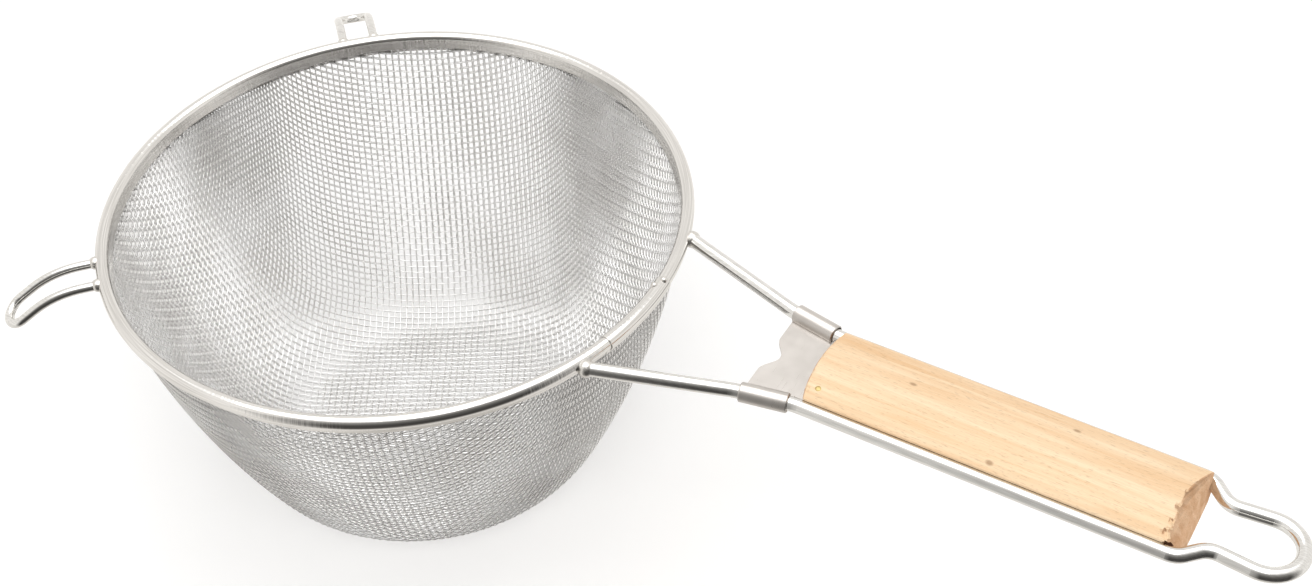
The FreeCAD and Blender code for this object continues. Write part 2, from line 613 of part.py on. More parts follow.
for item in doc.Objects:
    if "Invalid" in item.State or "Error" in item.State:
        raise RuntimeError(f"{item.Name} did not build: {item.State}")
for label, (piece, solids) in PIECES.items():
    shape = piece.Shape
    if shape.isNull() or not shape.isValid():
        raise RuntimeError(f"{label} has no valid shape")
    if len(shape.Solids) != solids:
        raise RuntimeError(f"{label} has {len(shape.Solids)} solids, not {solids}")
    box = shape.optimalBoundingBox()
    print(f"{label:18s} {shape.Volume:9.1f} mm3  x {box.XMin:7.1f} {box.XMax:7.1f}"
          f"  y {box.YMin:7.1f} {box.YMax:7.1f}  z {box.ZMin:7.1f} {box.ZMax:7.1f}")
    shape.exportStep(os.path.join("parts", f"{label}.step"))
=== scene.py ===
"""Wire strainer: a doubled mesh bowl in a rolled rim, a wire handle with a wooden grip, two rest hooks."""
import math

import bmesh
import bpy
from mathutils import Matrix, Vector, noise


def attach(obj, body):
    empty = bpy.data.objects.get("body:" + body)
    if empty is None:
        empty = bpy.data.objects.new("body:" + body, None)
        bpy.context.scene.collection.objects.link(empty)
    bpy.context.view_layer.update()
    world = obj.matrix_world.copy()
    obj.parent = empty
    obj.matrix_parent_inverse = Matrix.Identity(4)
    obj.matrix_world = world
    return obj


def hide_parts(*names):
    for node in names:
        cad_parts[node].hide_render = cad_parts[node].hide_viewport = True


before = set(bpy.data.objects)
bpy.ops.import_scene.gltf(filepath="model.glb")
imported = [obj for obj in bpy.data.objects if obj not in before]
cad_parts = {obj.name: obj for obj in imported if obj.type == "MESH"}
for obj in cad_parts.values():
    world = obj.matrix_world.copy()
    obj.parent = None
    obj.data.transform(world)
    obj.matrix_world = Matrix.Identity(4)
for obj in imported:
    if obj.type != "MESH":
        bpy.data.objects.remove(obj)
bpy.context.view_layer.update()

# ---- Camera: stands at the near right of the bowl, a little above, and looks down into its mouth.
# Its place is in metres in the object's frame. Its slight roll leaves the handle running down to the right.
camera_data = bpy.data.cameras.new("camera")
camera_data.sensor_width = 36.0
camera_data.lens = 52.88
camera = bpy.data.objects.new("camera", camera_data)
camera.location = (0.33203, -0.3749, 0.52667)
camera.rotation_euler = [math.radians(angle) for angle in (46.667, 1.990, 29.808)]
bpy.context.scene.collection.objects.link(camera)
bpy.context.scene.camera = camera


# ---- Floor and light: a plain white table, a soft lamp near the camera and a larger one overhead.
# The table is left out of reflections, so polished steel shows the room: white straight above, pale round
# about, and dim on the near right side, where the rim and the wires turn dark.
def linear(colour):
    """sRGB hex to the linear colour that a shader takes."""
    channels = [int(colour[at:at + 2], 16) / 255 for at in (1, 3, 5)]
    return [c / 12.92 if c <= 0.04045 else ((c + 0.055) / 1.055) ** 2.4 for c in channels] + [1.0]


def add_node(tree, kind, inputs=None, **settings):
    """A shader node with its settings, and its inputs as values or as other nodes' outputs."""
    made = tree.nodes.new(kind)
    for name, value in settings.items():
        setattr(made, name, value)
    for name, value in (inputs or {}).items():
        if isinstance(value, bpy.types.NodeSocket):
            tree.links.new(value, made.inputs[name])
        else:
            made.inputs[name].default_value = value
    return made


def new_material(name, **values):
    """An empty material with one Principled shader, and the shader's plain values."""
    material = bpy.data.materials.new(name)
    material.use_nodes = True
    tree = material.node_tree
    shader = tree.nodes["Principled BSDF"]
    for key, value in values.items():
        shader.inputs[key.replace("_", " ")].default_value = value
    return material, tree, shader


floor_mesh = bmesh.new()
bmesh.ops.create_grid(floor_mesh, x_segments=8, y_segments=8, size=4.0)
floor = bpy.data.objects.new("floor", bpy.data.meshes.new("floor"))
floor_mesh.to_mesh(floor.data)
floor_mesh.free()
bpy.context.scene.collection.objects.link(floor)
floor_material, _, _ = new_material("white_table", Base_Color=linear("#E6E5E4"), Roughness=0.9,
                                    Emission_Color=linear("#FFFFFF"), Emission_Strength=0.28)
floor.data.materials.append(floor_material)
floor.location.z = -0.0002
floor.visible_glossy = False


def add_lamp(name, place, target, size, watts, colour):
    """A square soft lamp that faces the target."""
    lamp = bpy.data.lights.new(name, "AREA")
    lamp.size = size
    lamp.energy = watts
    lamp.color = linear(colour)[:3]
    holder = bpy.data.objects.new(name, lamp)
    holder.location = place
    holder.rotation_euler = (Vector(target) - Vector(place)).to_track_quat("-Z", "Y").to_euler()
    bpy.context.scene.collection.objects.link(holder)
    return holder


front_lamp = add_lamp("front_lamp", (0.38, -0.50, 0.72), (0.05, 0.0, 0.05), 0.50, 2.5, "#FFFEFC")
front_lamp.visible_glossy = False  # the dim side of the room stays dim in the polished steel
add_lamp("top_lamp", (0.05, 0.05, 1.40), (0.05, 0.0, 0.05), 1.50, 9.0, "#FFFFFF")

DIM_SIDE = Vector((0.669, -0.743, 0.0))  # towards the unlit part of the room, in front and to the right
REFLECTED_ROOM, SOFT_FILL = 1.4, 0.58  # the room's strength in reflections, and as light from all round
world = bpy.data.worlds.new("room")
world.use_nodes = True
bpy.context.scene.world = world
room = world.node_tree
direction = add_node(room, "ShaderNodeTexCoord").outputs["Generated"]
height = add_node(room, "ShaderNodeSeparateXYZ", {"Vector": direction}).outputs["Z"]
rise = add_node(room, "ShaderNodeMapRange", {"Value": height, "From Min": -1.0, "From Max": 1.0}).outputs[0]
# Each wall's tones, from straight below at 0 to straight above at 1.
LIT_WALLS = ((0.0, "#CFCCC8"), (0.25, "#DAD8D4"), (0.50, "#DEDCD9"), (0.70, "#D8D6D3"), (0.86, "#DAD8D5"),
             (0.95, "#FFFFFF"), (1.0, "#FFFFFF"))
DIM_WALLS = ((0.0, "#C8C5C0"), (0.14, "#4A4846"), (0.38, "#3A3938"), (0.67, "#5C5B59"), (0.86, "#8E8D8B"),
             (0.97, "#FFFFFF"), (1.0, "#FFFFFF"))
walls = []
for tones in (LIT_WALLS, DIM_WALLS):
    ramp = add_node(room, "ShaderNodeValToRGB", {"Fac": rise})
    for place, colour in tones[1:-1]:
        ramp.color_ramp.elements.new(place).color = linear(colour)
    ramp.color_ramp.elements[0].color = linear(tones[0][1])
    ramp.color_ramp.elements[-1].color = linear(tones[-1][1])
    walls.append(ramp.outputs["Color"])
flat = add_node(room, "ShaderNodeVectorMath", {0: direction, 1: (1, 1, 0)}, operation="MULTIPLY").outputs[0]
flat = add_node(room, "ShaderNodeVectorMath", {0: flat}, operation="NORMALIZE").outputs[0]
toward = add_node(room, "ShaderNodeVectorMath", {0: flat, 1: DIM_SIDE},
                  operation="DOT_PRODUCT").outputs["Value"]
aside = add_node(room, "ShaderNodeMapRange", {"Value": toward, "From Min": 0.42, "From Max": 0.84}).outputs[0]
shown = add_node(room, "ShaderNodeMixRGB", {"Fac": aside, "Color1": walls[0], "Color2": walls[1]}).outputs[0]
mirror_ray = add_node(room, "ShaderNodeLightPath").outputs["Is Glossy Ray"]
seen = add_node(room, "ShaderNodeBackground", {"Color": shown, "Strength": REFLECTED_ROOM})
soft = add_node(room, "ShaderNodeBackground", {"Color": linear("#FFFFFF"), "Strength": SOFT_FILL})
mixed = add_node(room, "ShaderNodeMixShader", {0: mirror_ray, 1: soft.outputs[0], 2: seen.outputs[0]})
room.links.new(mixed.outputs[0], room.nodes["World Output"].inputs["Surface"])
bpy.context.scene.view_settings.view_transform = "Standard"

# ---- Mesh bowl: two layers of plain-woven stainless cloth, pressed together over one former.
# A square cloth pressed to a bowl keeps its wires' spacing and gives by shearing, most half way between
# the wires' own directions, so each crossing is placed one pitch from its two neighbours on the bowl.
WEAVE_PITCH = 0.00235
WEAVE_WIRE = 0.00025  # the wire's radius
FLAT_RADIUS = 0.0432
CORNER_RADIUS = 0.028
WALL_RADIUS = 0.335
WALL_AXIS = (-0.2326, 0.16285)  # centre of the wall's bulge, across and up
MESH_TOP = 0.1036
WALL_START = math.atan2(CORNER_RADIUS - WALL_AXIS[1], FLAT_RADIUS - WALL_AXIS[0])


def onto_bowl(point, skin):
    """Nearest point of the surface that lies skin inside the bowl's outside, and its outward normal."""
    across = math.hypot(point.x, point.y)
    if across < FLAT_RADIUS:
        return Vector((point.x, point.y, skin)), Vector((0, 0, -1))
    way = Vector((point.x, point.y, 0)) / across
    lean = math.atan2(point.z - CORNER_RADIUS, across - FLAT_RADIUS)
    if lean < WALL_START:
        centre, radius = (FLAT_RADIUS, CORNER_RADIUS), CORNER_RADIUS - skin
    else:
        centre, radius = WALL_AXIS, WALL_RADIUS - skin
        lean = math.atan2(point.z - centre[1], across - centre[0])
    normal = way * math.cos(lean) + Vector((0, 0, math.sin(lean)))
    return way * centre[0] + Vector((0, 0, centre[1])) + normal * radius, normal


LOCKED_SHEAR = 0.985  # cosine between the two wires' directions, past which the cloth gives no further
CORRECTIONS = 7  # steps that bring a guessed crossing to one pitch from its neighbours
LONGEST_RUN = 90  # more crossings than there are from the bottom's middle to the rim
TRIM = 0.003  # cloth laid past the cut edge, so that every wire reaches it


def next_crossing(one, other, guess, skin):
    """The point one pitch from both neighbours, or None where the cloth has locked."""
    point = guess
    for _ in range(CORRECTIONS):
        point, normal = onto_bowl(point, skin)
        pulls = []
        for neighbour in (one, other):
            apart = point - neighbour
            along = (apart - normal * apart.dot(normal)).normalized()
            pulls.append((along, apart.length - WEAVE_PITCH))
        (a, gap_a), (b, gap_b) = pulls
        shear = a.dot(b)
        if abs(shear) > LOCKED_SHEAR:
            return None
        share = 1 - shear * shear
        point = point - a * ((gap_a - shear * gap_b) / share) - b * ((gap_b - shear * gap_a) / share)
    return onto_bowl(point, skin)[0]


def quarter_of_cloth(skin):
    """Crossings of one quarter, from the bottom's middle out to a little past the rim."""
    reach = range(LONGEST_RUN)
    crossings = {(0, 0): Vector((0, 0, skin))}
    for i in reach[1:]:
        before = crossings[i - 1, 0]
        step = before + (Vector((WEAVE_PITCH, 0, 0)) if i < 2 else before - crossings[i - 2, 0])
        place = onto_bowl(step, skin)[0]
        place = onto_bowl(before + (place - before).normalized() * WEAVE_PITCH, skin)[0]
        if place.z > MESH_TOP + TRIM:
            break
        crossings[i, 0] = place
        crossings[0, i] = Vector((0, place.x, place.z))
    for i in reach[1:]:
        for j in reach[1:]:
            corner, one, other = (crossings.get(key) for key in ((i - 1, j - 1), (i - 1, j), (i, j - 1)))
            if corner is None or one is None or other is None:
                continue
            place = next_crossing(one, other, one + other - corner, skin)
            if place is not None and place.z < MESH_TOP + TRIM:
                crossings[i, j] = place
    return crossings


def weave_layer(label, quarter, skin, turn, ripple, material, node):
    """One layer as its two families of wires, each wire a round curve that goes over and under.

    Pressing pushes the crossings about, by about 0.5 mm in broad waves and 0.08 mm in small ones. Layers
    whose ripples are close to each other are pushed nearly alike. No seed is set for the pushes, so they
    differ a little from run to run.
    """
    spins = [Matrix.Rotation(math.radians(turn + 90 * n), 3, "Z") for n in range(4)]
    whole = {}
    for (i, j), place in quarter.items():
        for n, key in enumerate(((i, j), (-j, i), (-i, -j), (j, -i))):
            whole[key] = spins[n] @ place
    for key, place in whole.items():
        drift = noise.noise_vector(place * 22 + Vector((ripple, 0, 0))) * 0.0005
        drift += noise.noise_vector(place * 190 + Vector((0, ripple, 0))) * 0.00008
        whole[key] = place + drift
    for family in ("warp", "weft"):
        curve = bpy.data.curves.new(f"{label}_{family}", "CURVE")
        curve.dimensions = "3D"
        curve.bevel_depth = WEAVE_WIRE
        curve.bevel_resolution = 1
        for fixed in range(-LONGEST_RUN, LONGEST_RUN + 1):
            run = []
            for moving in range(-LONGEST_RUN, LONGEST_RUN + 1):
                key = (moving, fixed) if family == "warp" else (fixed, moving)
                if key not in whole:
                    continue
                place, normal = onto_bowl(whole[key], skin)
                over = 1 if (sum(key) % 2 == 0) == (family == "warp") else -1
                run.append(place + normal * (over * WEAVE_WIRE))
            kept = [place for place in run if place.z < MESH_TOP]
            if len(kept) < 2:
                continue
            wire = curve.splines.new("POLY")
            wire.points.add(len(kept) - 1)
            wire.points.foreach_set("co", [value for place in kept for value in (*place, 1.0)])
            wire.use_smooth = True
        piece = bpy.data.objects.new(f"{label}_{family}", curve)
        bpy.context.scene.collection.objects.link(piece)
        curve.materials.append(material)
        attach(piece, "root")
        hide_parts(node)


# Bright drawn stainless wire: each wire catches a white line, and its tone drifts a little over the bowl,
# in patches about 22 mm across.
cloth_steel, tree, shader = new_material("woven_stainless_wire", Metallic=1.0)
place = add_node(tree, "ShaderNodeTexCoord").outputs["Object"]
drift = add_node(tree, "ShaderNodeTexNoise", {"Vector": place, "Scale": 45.0, "Detail": 3.0}).outputs["Fac"]
tone = add_node(tree, "ShaderNodeValToRGB", {"Fac": drift})
tone.color_ramp.elements[0].color = linear("#EDECEB")
tone.color_ramp.elements[0].position = 0.3
tone.color_ramp.elements[1].color = linear("#FEFEFE")
tone.color_ramp.elements[1].position = 0.7
tree.links.new(tone.outputs["Color"], shader.inputs["Base Color"])
dull = add_node(tree, "ShaderNodeMapRange", {"Value": drift, "To Min": 0.20, "To Max": 0.34}).outputs[0]
tree.links.new(dull, shader.inputs["Roughness"])
MIDDLE_SKIN, OUTER_SKIN, INNER_SKIN = 0.00095, 0.0005, 0.0014  # depths inside the bowl's outside
pressed = quarter_of_cloth(MIDDLE_SKIN)  # both layers take their shape from the one press stroke
weave_layer("outer_mesh", pressed, OUTER_SKIN, 30.0, 3.0, cloth_steel, "outer_mesh_bowl")
weave_layer("inner_mesh", pressed, INNER_SKIN, 30.12, 3.08, cloth_steel, "inner_mesh_bowl")


# ---- Rim: a strip of polished stainless sheet rolled over a hoop wire, its two lips closed on the mesh.
# The strip's far end laps over its start beside the handle and is held there by two spot welds. Rolling
# leaves fine lines round the rim and a faint cross-wise chatter that shows in the dark reflections.
RIM_RADIUS = 0.0977  # bowl axis to the bead's centre
RIM_HEIGHT = 0.106
BEAD_RADIUS = 0.0023
BAND_SHEET = 0.0005
LIP_SLOPE = math.radians(12)
OUTER_LIP_DROP, INNER_LIP_DROP = 0.0052, 0.0028
LAP_START, LAP_SWEEP, LAP_SHEET = math.radians(-13), math.radians(19), 0.00034


CREASE = math.radians(24)  # edges sharper than this stay crisp


def dress(name, material):
    """A CAD node takes one material."""
    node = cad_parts[name]
    node.data.materials.clear()
    node.data.materials.append(material)


def finish_piece(mesh, name, materials, slot_name, *nodes):
    """The bmesh becomes a piece on the part's one body that stands for the CAD nodes."""
    for face in mesh.faces:
        face.smooth = True
    for line in mesh.edges:
        line.smooth = len(line.link_faces) == 2 and line.calc_face_angle() < CREASE
    piece = bpy.data.objects.new(name, bpy.data.meshes.new(name))
    mesh.to_mesh(piece.data)
    mesh.free()
    for material in materials:
        piece.data.materials.append(material)
    bpy.context.scene.collection.objects.link(piece)
    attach(piece, "root")
    if nodes:
        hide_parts(*nodes)
    return piece


def band_section(mesh, outset, outer_drop, inner_drop):
    """The strip's section as a chain of vertices and edges, from the outer lip's foot over the bead."""
    middle = BEAD_RADIUS - BAND_SHEET / 2 + outset
    slant = Vector((math.sin(LIP_SLOPE), 0, math.cos(LIP_SLOPE)))
    points = []
    for drop in (outer_drop, outer_drop * 0.8, outer_drop * 0.6):
        points.append(Vector((BAND_SHEET / 2 + outset, 0, 0)) - slant * drop)
    for step in range(27):
        angle = math.radians(-84 + step * (168 + 84) / 26)
        points.append(Vector((math.cos(angle), 0, math.sin(angle))) * middle)
    tangent = points[-1].copy()
    for share in (0.5, 1.0):
        points.append(tangent - slant * (share * (inner_drop + tangent.z)))
    verts = [mesh.verts.new(point + Vector((RIM_RADIUS, 0, RIM_HEIGHT))) for point in points]
    edges = [mesh.edges.new(pair) for pair in zip(verts, verts[1:])]
    return verts + edges


def uneven_lips(mesh, size):
    """The rolls press unevenly: the strip wanders sideways by up to size, and its lips more, up and down."""
    for vert in mesh.verts:
        away = Vector((vert.co.x, vert.co.y, 0)).normalized()
        wander = noise.noise(away * 5.0 + Vector((0, 0, 4.0)))
        low = max(0.0, (RIM_HEIGHT - vert.co.z) / OUTER_LIP_DROP)
        vert.co += away * (wander * size) + Vector((0, 0, wander * size * 2.5 * low))


band_mesh = bmesh.new()
section = band_section(band_mesh, 0.0, OUTER_LIP_DROP, INNER_LIP_DROP)
bmesh.ops.spin(band_mesh, geom=section, cent=(0, 0, 0), axis=(0, 0, 1), angle=2 * math.pi, steps=288,
               use_merge=True)
uneven_lips(band_mesh, 0.00006)
bmesh.ops.recalc_face_normals(band_mesh, faces=band_mesh.faces)
# Polished rolled sheet: fine lines run round the rim, about 0.3 mm apart, and chatter crosses them
# about every 0.9 mm.
rim_steel, tree, shader = new_material("rolled_stainless_sheet", Metallic=1.0)
place = add_node(tree, "ShaderNodeTexCoord").outputs["Object"]
parts = add_node(tree, "ShaderNodeSeparateXYZ", {"Vector": place})
turn = add_node(tree, "ShaderNodeMath", {0: parts.outputs["Y"], 1: parts.outputs["X"]},
                operation="ARCTAN2").outputs[0]
flat = add_node(tree, "ShaderNodeCombineXYZ", {"X": parts.outputs["X"], "Y": parts.outputs["Y"]}).outputs[0]
reach = add_node(tree, "ShaderNodeVectorMath", {0: flat}, operation="LENGTH").outputs["Value"]
round_rim = add_node(tree, "ShaderNodeCombineXYZ",
                     {"X": turn, "Y": reach, "Z": parts.outputs["Z"]}).outputs[0]
stretched = add_node(tree, "ShaderNodeMapping",
                     {"Vector": round_rim, "Scale": (1.5, 1000.0, 1000.0)}).outputs[0]
lines = add_node(tree, "ShaderNodeTexNoise",
                 {"Vector": stretched, "Scale": 3.0, "Detail": 4.0}).outputs["Fac"]
crossing = add_node(tree, "ShaderNodeMapping", {"Vector": round_rim, "Scale": (100.0, 60.0, 60.0)}).outputs[0]
chatter = add_node(tree, "ShaderNodeTexNoise",
                   {"Vector": crossing, "Scale": 1.1, "Detail": 3.0}).outputs["Fac"]
tone = add_node(tree, "ShaderNodeValToRGB", {"Fac": lines})
tone.color_ramp.elements[0].color = linear("#CFCCC8")
tone.color_ramp.elements[0].position = 0.25
tone.color_ramp.elements[1].color = linear("#ECEAE7")
tone.color_ramp.elements[1].position = 0.65
tree.links.new(tone.outputs["Color"], shader.inputs["Base Color"])
dull = add_node(tree, "ShaderNodeMapRange", {"Value": lines, "To Min": 0.05, "To Max": 0.13}).outputs[0]
tree.links.new(dull, shader.inputs["Roughness"])
ridges = add_node(tree, "ShaderNodeBump", {"Height": lines, "Strength": 0.12, "Distance": 0.00005}).outputs[0]
ridges = add_node(tree, "ShaderNodeBump", {"Height": chatter, "Strength": 0.5, "Distance": 0.00012,
                                           "Normal": ridges}).outputs[0]
tree.links.new(ridges, shader.inputs["Normal"])
band = finish_piece(band_mesh, "rim_band_rolled", [rim_steel], "rim_steel", "rim_band")
wall = band.modifiers.new("sheet", "SOLIDIFY")
wall.thickness = BAND_SHEET
wall.offset = 0.0

lap_mesh = bmesh.new()
section = band_section(lap_mesh, (BAND_SHEET + LAP_SHEET) / 2, OUTER_LIP_DROP, INNER_LIP_DROP * 0.9)
bmesh.ops.rotate(lap_mesh, verts=lap_mesh.verts, cent=(0, 0, 0), matrix=Matrix.Rotation(LAP_START, 3, "Z"))
bmesh.ops.spin(lap_mesh, geom=section, cent=(0, 0, 0), axis=(0, 0, 1), angle=LAP_SWEEP, steps=24)
uneven_lips(lap_mesh, 0.00006)
bmesh.ops.recalc_face_normals(lap_mesh, faces=lap_mesh.faces)
lap = finish_piece(lap_mesh, "rim_band_overlap", [rim_steel], "rim_steel")
wall = lap.modifiers.new("sheet", "SOLIDIFY")
wall.thickness = LAP_SHEET
wall.offset = 0.0
edge = lap.modifiers.new("edge", "BEVEL")
edge.width = 0.00012
edge.segments = 2

# ---- Wires: the hoop inside the rim, the handle's one bent length and the two rest hooks, all polished
# stainless wire. Drawing leaves faint lines along them, and the polish leaves them nearly a mirror.
wire_steel, tree, shader = new_material("polished_stainless_wire", Metallic=1.0)
place = add_node(tree, "ShaderNodeTexCoord").outputs["Object"]
along = add_node(tree, "ShaderNodeMapping", {"Vector": place, "Scale": (60.0, 900.0, 900.0)}).outputs[0]
lines = add_node(tree, "ShaderNodeTexNoise", {"Vector": along, "Scale": 2.0, "Detail": 3.0}).outputs["Fac"]
tone = add_node(tree, "ShaderNodeValToRGB", {"Fac": lines})
tone.color_ramp.elements[0].color = linear("#DAD8D5")
tone.color_ramp.elements[0].position = 0.3
tone.color_ramp.elements[1].color = linear("#EDECE9")
tone.color_ramp.elements[1].position = 0.7
tree.links.new(tone.outputs["Color"], shader.inputs["Base Color"])
dull = add_node(tree, "ShaderNodeMapRange", {"Value": lines, "To Min": 0.05, "To Max": 0.13}).outputs[0]
tree.links.new(dull, shader.inputs["Roughness"])
ridges = add_node(tree, "ShaderNodeBump", {"Height": lines, "Strength": 0.1, "Distance": 0.00005}).outputs[0]
tree.links.new(ridges, shader.inputs["Normal"])
for name in ("rim_hoop_wire", "handle_wire", "rest_hook_left", "rest_hook_right"):
    dress(name, wire_steel)

# ---- Welds: the beads where the handle's legs and the hooks meet the rim, and two spots on the overlap.
# Fused stainless, cleaned in acid, so it is paler and duller than the wire, with a finely rippled skin.
weld_steel, tree, shader = new_material("cleaned_weld", Metallic=1.0)
place = add_node(tree, "ShaderNodeTexCoord").outputs["Object"]
ripple = add_node(tree, "ShaderNodeTexNoise", {"Vector": place, "Scale": 900.0, "Detail": 4.0}).outputs["Fac"]
tone = add_node(tree, "ShaderNodeValToRGB", {"Fac": ripple})
tone.color_ramp.elements[0].color = linear("#CFCBC5")
tone.color_ramp.elements[1].color = linear("#EAE8E4")
tree.links.new(tone.outputs["Color"], shader.inputs["Base Color"])
dull = add_node(tree, "ShaderNodeMapRange", {"Value": ripple, "To Min": 0.18, "To Max": 0.42}).outputs[0]
tree.links.new(dull, shader.inputs["Roughness"])
skin = add_node(tree, "ShaderNodeBump", {"Height": ripple, "Strength": 0.6, "Distance": 0.0002}).outputs[0]
tree.links.new(skin, shader.inputs["Normal"])
for name in ("leg_welds", "hook_welds", "rim_spot_welds"):
    dress(name, weld_steel)

# ---- Cross bracket: a stamping of 0.8 mm stainless sheet whose two sides are rolled into sleeves round
# the handle's legs, with a scalloped front edge and a tongue that runs back into the grip. The sheet is
# left satin from the mill, with its rolling lines across the handle, and its edges are tumbled round.
HANDLE_DROOP = math.radians(1.26)
HANDLE_PLACE = Matrix.Translation((0.0946, 0, 0.1051)) @ Matrix.Rotation(HANDLE_DROOP, 4, "Y")
LEG_WIRE = 0.0023
SHEET = 0.0008
SLEEVE_FRONT, SLEEVE_BACK = Vector((0.04606, 0.01922, 0)), Vector((0.06104, 0.01643, 0))
EAR_HALF_GAP, SCALLOP = 0.0075, 0.0038
TONGUE_HALF_WIDTH, TONGUE_END = 0.0124, 0.075
PLATE_LEVEL = -0.0010  # the sheet's middle against the wires' centres
half = [Vector((SLEEVE_FRONT.x, EAR_HALF_GAP, 0)), SLEEVE_FRONT.copy(), SLEEVE_BACK.copy(),
        Vector((SLEEVE_BACK.x, TONGUE_HALF_WIDTH, 0)), Vector((TONGUE_END, TONGUE_HALF_WIDTH, 0))]
outline = half + [Vector((point.x, -point.y, 0)) for point in reversed(half)]
for step in range(1, 16):  # the scalloped edge, from the near ear back to the far one
    across = -1 + step / 8
    hollow = SCALLOP * 0.5 * (1 + math.cos(math.pi * across))
    outline.append(Vector((SLEEVE_FRONT.x + hollow, across * EAR_HALF_GAP, 0)))
bracket_mesh = bmesh.new()
corners = [bracket_mesh.verts.new(point + Vector((0, 0, PLATE_LEVEL - SHEET / 2))) for point in outline]
plate = bracket_mesh.faces.new(corners)
raised = bmesh.ops.extrude_face_region(bracket_mesh, geom=[plate])["geom"]
bmesh.ops.translate(bracket_mesh, verts=[v for v in raised if isinstance(v, bmesh.types.BMVert)],
                    vec=(0, 0, SHEET))
for side in (1, -1):
    front = Vector((SLEEVE_FRONT.x, side * SLEEVE_FRONT.y, 0))
    back = Vector((SLEEVE_BACK.x, side * SLEEVE_BACK.y, 0))
    run = (back - front).length
    inner, outer = LEG_WIRE + 0.00005, LEG_WIRE + 0.00005 + SHEET
    lip = SHEET * 0.35  # the rounded ends of the sleeve's wall
    ends = [(inner, lip), (inner + lip, 0), (outer - lip, 0), (outer, lip),
            (outer, run - lip), (outer - lip, run), (outer - lip * 1.4, run), (inner, run - SHEET * 1.5)]
    upright = (back - front).to_track_quat("Z", "Y").to_matrix()
    ring = [bracket_mesh.verts.new(front + upright @ Vector((across, 0, along))) for across, along in ends]
    edges = [bracket_mesh.edges.new((ring[n], ring[(n + 1) % len(ring)])) for n in range(len(ring))]
    bmesh.ops.spin(bracket_mesh, geom=ring + edges, cent=front, axis=back - front, angle=2 * math.pi,
                   steps=40, use_merge=True)
bmesh.ops.recalc_face_normals(bracket_mesh, faces=bracket_mesh.faces)
bmesh.ops.transform(bracket_mesh, verts=bracket_mesh.verts, matrix=HANDLE_PLACE)
# Mill-finish sheet: soft broad reflections with lines about 0.3 mm apart across the handle.
sheet_steel, tree, shader = new_material("satin_stainless_sheet", Metallic=1.0)
place = add_node(tree, "ShaderNodeTexCoord").outputs["Object"]
across = add_node(tree, "ShaderNodeMapping", {"Vector": place, "Scale": (1600.0, 40.0, 400.0)}).outputs[0]
lines = add_node(tree, "ShaderNodeTexNoise", {"Vector": across, "Scale": 2.0, "Detail": 4.0}).outputs["Fac"]
cloud = add_node(tree, "ShaderNodeTexNoise", {"Vector": place, "Scale": 120.0, "Detail": 2.0}).outputs["Fac"]
tone = add_node(tree, "ShaderNodeValToRGB", {"Fac": cloud})
tone.color_ramp.elements[0].color = linear("#C4BFBA")
tone.color_ramp.elements[0].position = 0.3
tone.color_ramp.elements[1].color = linear("#D3CEC9")
tone.color_ramp.elements[1].position = 0.7
tree.links.new(tone.outputs["Color"], shader.inputs["Base Color"])
dull = add_node(tree, "ShaderNodeMapRange", {"Value": lines, "To Min": 0.22, "To Max": 0.4}).outputs[0]
tree.links.new(dull, shader.inputs["Roughness"])
ridges = add_node(tree, "ShaderNodeBump", {"Height": lines, "Strength": 0.15, "Distance": 0.00005}).outputs[0]
tree.links.new(ridges, shader.inputs["Normal"])
bracket = finish_piece(bracket_mesh, "cross_bracket_stamped", [sheet_steel], "bracket_steel", "cross_bracket")
edge = bracket.modifiers.new("edge", "BEVEL")
edge.width = 0.00018
edge.segments = 2
edge.limit_method = "ANGLE"

# ---- Grip: one piece of beech, moulded with a low crown and slotted in front for the bracket's tongue,
# with a groove along each side that the wire presses into. It is sanded and only lightly sealed, so its
# grain, two pin knots, a stained nick and the torn fibres at its sawn ends show. The grooves are painted
# dark brown as painted shade, standing in for the shadow between the wood and the wire.
GRIP_START, GRIP_LENGTH, GRIP_LEAN = 0.0634, 0.1192, 0.0053
GRIP_HALF_WIDTH, GRIP_CROWN, GRIP_SHOULDER, GRIP_BELLY = 0.0149, 0.0066, 0.0050, 0.0063
TOP_BEVEL, FAR_BEVEL, BOTTOM_BEVEL, BELLY_RISE = 0.0021, 0.0006, 0.0024, 0.0006
WIRE_SPREAD, GROOVE = 0.0161, 0.0024
FRONT_ROUNDING = 0.0014  # how far the front edge's corners stand back
NICKS = (  # where fibres are torn out at the sawn ends: along, across, up, size, depth
    (0.1775, -0.0132, 0.0044, 0.0019, 0.0013), (0.1773, -0.0095, 0.0056, 0.0012, 0.0008),
    (0.1774, -0.0040, 0.0062, 0.0015, 0.0009), (0.1776, 0.0022, 0.0064, 0.0009, 0.0006),
    (0.1778, 0.0080, 0.0060, 0.0011, 0.0006), (0.1786, -0.0147, 0.0020, 0.0018, 0.0012),
    (0.0640, -0.0060, 0.0062, 0.0008, 0.0004), (0.0637, 0.0010, 0.0065, 0.0007, 0.0004),
    (0.0642, 0.0072, 0.0061, 0.0008, 0.0004), (0.0650, -0.0122, 0.0050, 0.0009, 0.0005),
    (0.1240, -0.0128, 0.0049, 0.0010, 0.0004),
)


def crown_line(half_reach, low, high, steps):
    """Points of the shallow arc between two edges, from one side to the other."""
    return [(half_reach * (1 - 2 * step / steps), high - (high - low) * (1 - 2 * step / steps) ** 2)
            for step in range(steps + 1)]


